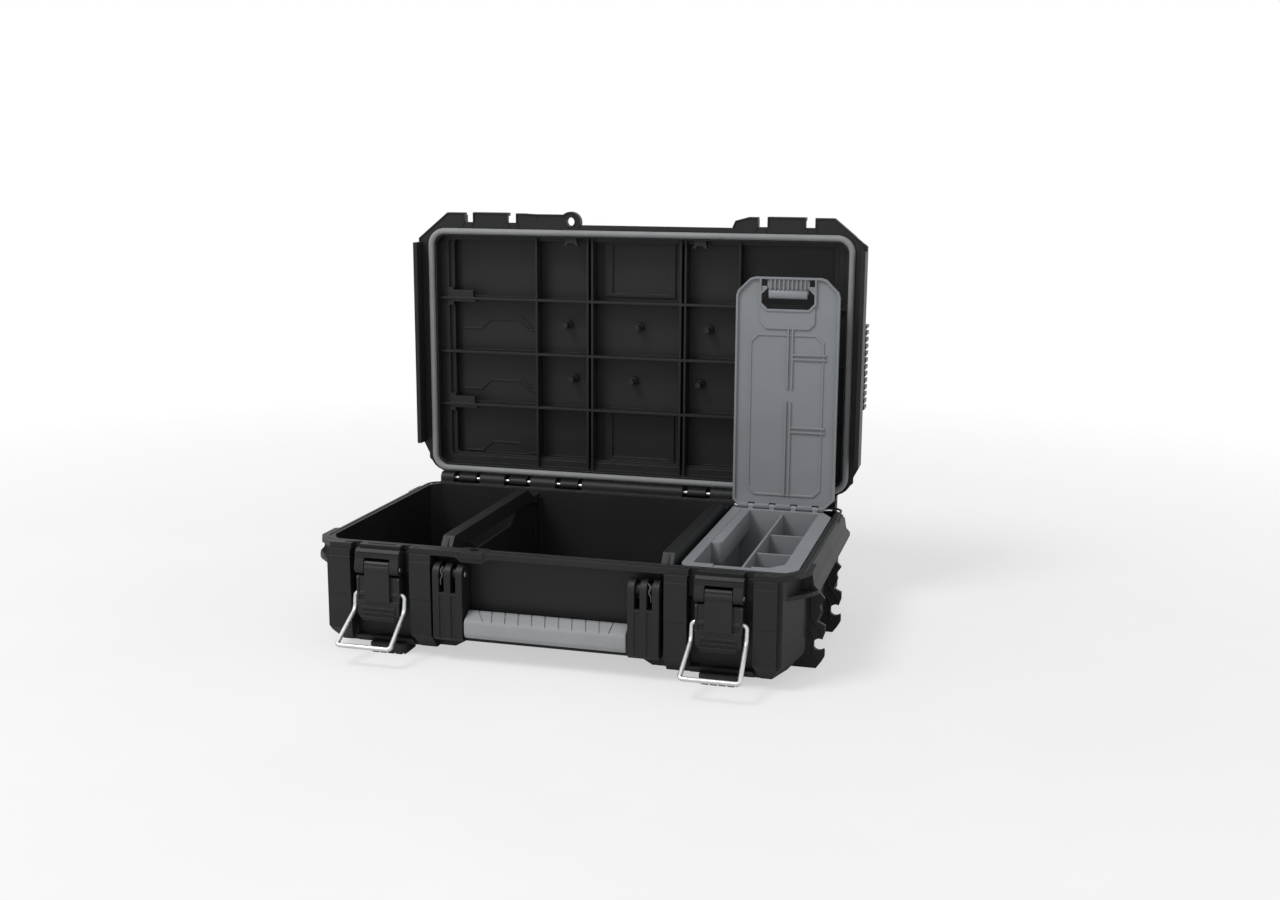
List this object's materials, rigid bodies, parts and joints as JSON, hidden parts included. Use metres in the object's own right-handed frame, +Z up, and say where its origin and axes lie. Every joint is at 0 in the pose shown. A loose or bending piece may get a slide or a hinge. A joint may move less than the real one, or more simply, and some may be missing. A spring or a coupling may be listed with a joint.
{
  "type": "hard tool case",
  "caption": "Wide hard case for tools with a hinged lid, wire-bail draw latches, a folding front handle, divider walls and a lidded organiser for small parts.",
  "frame": {"origin": "centre of the base on the ground that its feet stand on, halfway between the rim's front edge and the hinge axis", "axes": "+X to the right along the case's width, +Y to the back where the hinge is, +Z up"},
  "size_m": [0.561, 0.4323, 0.462],
  "materials": {
    "black_shell": "moulded polypropylene with a fine grain",
    "black_lever": "moulded nylon, slightly smoother",
    "black_rubber": "matt moulded rubber",
    "seal_rubber": "soft grey foam rubber",
    "grip_rubber": "grey moulded grip",
    "grey_plastic": "grey moulded plastic",
    "inlay_plastic": "light grey moulded plastic",
    "steel": "plated steel rod",
    "bail_wire": "bright plated wire"
  },
  "bodies": {
    "base": {"base_shell": "black_shell", "hinge_rods": "steel", "handle_pins": "steel", "latch_bracket_left": "black_shell", "latch_bracket_right": "black_shell", "bracket_screws": "steel", "latch_pins": "steel", "divider_left": "black_shell", "divider_right": "black_shell", "organiser_tray": "grey_plastic", "organiser_long_divider": "grey_plastic", "organiser_cross_dividers": "grey_plastic", "organiser_pin": "steel", "foot_pads": "black_rubber"},
    "lid": {"lid_shell": "black_shell", "lid_seal": "seal_rubber", "side_pad_left": "black_lever", "side_pad_right": "black_lever", "side_inlays": "inlay_plastic"},
    "organiser_flap": {"organiser_lid": "grey_plastic", "organiser_latch": "grey_plastic"},
    "handle": {"handle_frame": "black_shell", "handle_grip": "grip_rubber"},
    "lever_left": {"latch_lever_left": "black_lever"},
    "lever_right": {"latch_lever_right": "black_lever"},
    "bail_left": {"latch_bail_left": "bail_wire"},
    "bail_right": {"latch_bail_right": "bail_wire"}
  },
  "joints": [
    {"name": "lid_hinge", "type": "hinge", "parent": "base", "child": "lid", "pos_m": [0, 0.169, 0.122], "axis": [1, 0, 0], "range_deg": [0, 90]},
    {"name": "organiser_hinge", "type": "hinge", "parent": "base", "child": "organiser_flap", "pos_m": [0, 0.131, 0.1204], "axis": [1, 0, 0], "range_deg": [0, 90]},
    {"name": "handle_hinge", "type": "hinge", "parent": "base", "child": "handle", "pos_m": [0, -0.164, 0.096], "axis": [-1, 0, 0], "range_deg": [0, 95]},
    {"name": "lever_left_hinge", "type": "hinge", "parent": "base", "child": "lever_left", "pos_m": [-0.185, -0.1736, 0.0974], "axis": [1, 0, 0], "range_deg": [-135, 0]},
    {"name": "bail_left_hinge", "type": "hinge", "parent": "lever_left", "child": "bail_left", "pos_m": [-0.185, -0.171, 0.0688], "axis": [-1, 0, 0], "range_deg": [0, 144.9]},
    {"name": "lever_right_hinge", "type": "hinge", "parent": "base", "child": "lever_right", "pos_m": [0.185, -0.1736, 0.0974], "axis": [1, 0, 0], "range_deg": [-135, 0]},
    {"name": "bail_right_hinge", "type": "hinge", "parent": "lever_right", "child": "bail_right", "pos_m": [0.185, -0.171, 0.0688], "axis": [-1, 0, 0], "range_deg": [0, 144.9]}
  ],
  "couplings": [
    {"joint": "organiser_hinge", "follows": "lid_hinge", "ratio": 1}
  ]
}
